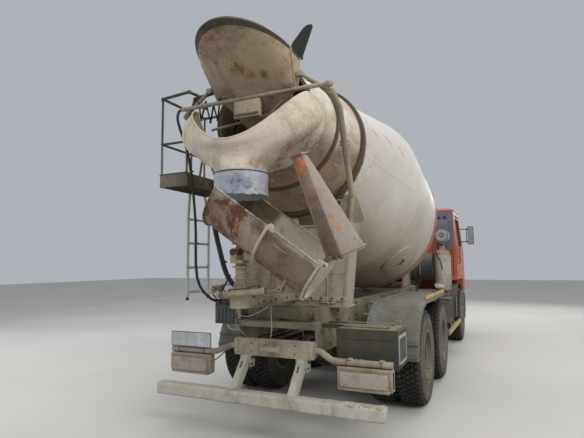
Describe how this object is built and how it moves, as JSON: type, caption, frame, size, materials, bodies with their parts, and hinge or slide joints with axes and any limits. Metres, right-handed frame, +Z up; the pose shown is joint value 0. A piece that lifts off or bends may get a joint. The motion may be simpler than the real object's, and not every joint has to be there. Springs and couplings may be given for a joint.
{
  "type": "concrete mixer truck",
  "caption": "Forward-control truck with an inclined mixing drum, rear hopper, funnel, swinging folding chute, twin rear axles and a tilting cab.",
  "frame": {"origin": "on the ground, midway along the overall length, on the centre line", "axes": "+Z up, the truck faces -Y, its left side is +X"},
  "size_m": [2.84, 8.92, 3.96],
  "materials": {
    "frame_steel": "dusty painted steel",
    "beige_paint": "worn beige paint",
    "lamp_plastic": "dusty pale lens",
    "mudguard_plastic": "dusty grey plastic",
    "toolbox_paint": "dull grey-green paint",
    "dark_steel": "oily dark steel",
    "cast_grey": "dusty casting",
    "white_paint": "chalky white paint",
    "chute_paint": "beige paint, rust and dried concrete",
    "black_rubber": "matt rubber",
    "sleeve_plastic": "faded blue-grey plastic",
    "control_paint": "dark blue-grey paint",
    "bumper_plastic": "matt black plastic",
    "cab_orange": "faded orange paint",
    "window_glass": "clear",
    "cab_trim": "grey trim",
    "drum_paint": "dusty pale paint with a red-orange front",
    "polished_rod": "worn bright steel",
    "tyre_rubber": "dusty tread",
    "rim_steel": "dusty grey paint"
  },
  "bodies": {
    "chassis": {"chassis_frame": "frame_steel", "rear_crossmember": "frame_steel", "underride_guard": "frame_steel", "lamp_carriers": "beige_paint", "tail_lamps": "lamp_plastic", "rear_mudguards": "mudguard_plastic", "toolbox": "toolbox_paint", "leaf_springs": "dark_steel", "front_axle": "dark_steel", "rear_axles": "dark_steel", "engine": "cast_grey", "fuel_tank": "cast_grey", "air_tanks": "cast_grey", "exhaust_silencer": "beige_paint", "water_tank": "white_paint", "front_pedestal": "frame_steel", "drum_gearbox": "cast_grey", "rear_pedestal": "beige_paint", "hopper_frame": "beige_paint", "charging_hopper": "chute_paint", "splash_flap": "black_rubber", "discharge_funnel": "chute_paint", "outlet_sleeve": "sleeve_plastic", "platform": "dark_steel", "ladder": "white_paint", "control_box": "control_paint", "hoses": "black_rubber", "front_mudguards": "mudguard_plastic", "front_bumper": "bumper_plastic"},
    "cab": {"cab_shell": "cab_orange", "cab_glass": "window_glass", "cab_interior": "cab_trim", "mirrors": "dark_steel"},
    "left_door": {"door_left": "cab_orange"},
    "right_door": {"door_right": "cab_orange"},
    "left_knuckle": {"knuckle_left": "dark_steel"},
    "right_knuckle": {"knuckle_right": "dark_steel"},
    "drum": {"drum_shell": "drum_paint", "roller_ring": "dark_steel"},
    "left_roller": {"roller_left": "dark_steel"},
    "right_roller": {"roller_right": "dark_steel"},
    "column": {"chute_column": "beige_paint"},
    "main_chute": {"main_chute": "chute_paint"},
    "extension": {"extension_chute": "chute_paint"},
    "jack_barrel": {"jack_barrel": "beige_paint"},
    "jack_rod": {"jack_rod": "polished_rod"},
    "toolbox_lid": {"toolbox_lid": "toolbox_paint"},
    "front_left_wheel": {"front_tyre_left": "tyre_rubber", "front_rim_left": "rim_steel"},
    "mid_left_wheels": {"mid_tyres_left": "tyre_rubber", "mid_rims_left": "rim_steel"},
    "rear_left_wheels": {"rear_tyres_left": "tyre_rubber", "rear_rims_left": "rim_steel"},
    "front_right_wheel": {"front_tyre_right": "tyre_rubber", "front_rim_right": "rim_steel"},
    "mid_right_wheels": {"mid_tyres_right": "tyre_rubber", "mid_rims_right": "rim_steel"},
    "rear_right_wheels": {"rear_tyres_right": "tyre_rubber", "rear_rims_right": "rim_steel"}
  },
  "joints": [
    {"name": "steer_left", "type": "hinge", "parent": "chassis", "child": "left_knuckle", "pos_m": [0.79, -3.07, 0.54], "axis": [0, 0, 1], "range_deg": [-32, 32]},
    {"name": "steer_right", "type": "hinge", "parent": "chassis", "child": "right_knuckle", "pos_m": [-0.79, -3.07, 0.54], "axis": [0, 0, 1], "range_deg": [-32, 32]},
    {"name": "front_left_wheel_spin", "type": "hinge", "parent": "left_knuckle", "child": "front_left_wheel", "pos_m": [1.04, -3.07, 0.54], "axis": [1, 0, 0], "continuous": true},
    {"name": "mid_left_wheels_spin", "type": "hinge", "parent": "chassis", "child": "mid_left_wheels", "pos_m": [0.94, 0.47, 0.54], "axis": [1, 0, 0], "continuous": true},
    {"name": "rear_left_wheels_spin", "type": "hinge", "parent": "chassis", "child": "rear_left_wheels", "pos_m": [0.94, 1.87, 0.54], "axis": [1, 0, 0], "continuous": true},
    {"name": "front_right_wheel_spin", "type": "hinge", "parent": "right_knuckle", "child": "front_right_wheel", "pos_m": [-1.04, -3.07, 0.54], "axis": [1, 0, 0], "continuous": true},
    {"name": "mid_right_wheels_spin", "type": "hinge", "parent": "chassis", "child": "mid_right_wheels", "pos_m": [-0.94, 0.47, 0.54], "axis": [1, 0, 0], "continuous": true},
    {"name": "rear_right_wheels_spin", "type": "hinge", "parent": "chassis", "child": "rear_right_wheels", "pos_m": [-0.94, 1.87, 0.54], "axis": [1, 0, 0], "continuous": true},
    {"name": "cab_tilt", "type": "hinge", "parent": "chassis", "child": "cab", "pos_m": [0, -4.33, 0.97], "axis": [1, 0, 0], "range_deg": [0, 50]},
    {"name": "open_left_door", "type": "hinge", "parent": "cab", "child": "left_door", "pos_m": [1.165, -4.036, 2], "axis": [0, 0, -1], "range_deg": [0, 70]},
    {"name": "open_right_door", "type": "hinge", "parent": "cab", "child": "right_door", "pos_m": [-1.165, -4.036, 2], "axis": [0, 0, 1], "range_deg": [0, 70]},
    {"name": "drum_spin", "type": "hinge", "parent": "chassis", "child": "drum", "pos_m": [0, 2.742, 2.941], "axis": [0, -0.9792, -0.2028], "continuous": true},
    {"name": "roller_left_spin", "type": "hinge", "parent": "chassis", "child": "left_roller", "pos_m": [0.57331, 2.89134, 2.21985], "axis": [0, -0.9792, -0.2028], "continuous": true},
    {"name": "roller_right_spin", "type": "hinge", "parent": "chassis", "child": "right_roller", "pos_m": [-0.57331, 2.89134, 2.21985], "axis": [0, -0.9792, -0.2028], "continuous": true},
    {"name": "open_toolbox", "type": "hinge", "parent": "chassis", "child": "toolbox_lid", "pos_m": [-1.214, 3.11, 1.008], "axis": [0, 1, 0], "range_deg": [0, 100]},
    {"name": "chute_swing", "type": "hinge", "parent": "chassis", "child": "column", "pos_m": [0, 4.02, 1.4], "axis": [0, 0, 1], "range_deg": [-180, 0]},
    {"name": "chute_lift", "type": "hinge", "parent": "column", "child": "main_chute", "pos_m": [0.03936, 4.02715, 1.74], "axis": [-0.1788, 0.9839, 0], "range_deg": [-12, 5]},
    {"name": "chute_unfold", "type": "hinge", "parent": "main_chute", "child": "extension", "pos_m": [-0.83192, 3.88881, 1.65637], "axis": [0.0633, -0.9862, 0.153], "range_deg": [0, 146]},
    {"name": "jack_tip", "type": "hinge", "parent": "column", "child": "jack_barrel", "pos_m": [0.08498, 4.16757, 1.365], "axis": [-0.1788, 0.9839, 0], "range_deg": [-12, 9]},
    {"name": "jack_extend", "type": "slide", "parent": "jack_barrel", "child": "jack_rod", "axis": [-0.9782, -0.1778, 0.1072], "range_m": [-0.09, 0.065]}
  ],
  "couplings": [
    {"joint": "steer_left", "follows": "steer_right", "ratio": 1},
    {"joint": "roller_left_spin", "follows": "drum_spin", "ratio": -6.1769},
    {"joint": "roller_right_spin", "follows": "drum_spin", "ratio": -6.1769},
    {"joint": "jack_tip", "follows": "chute_lift", "ratio": 0.8199},
    {"joint": "jack_extend", "follows": "chute_lift", "m_per_rad": 0.3707}
  ]
}
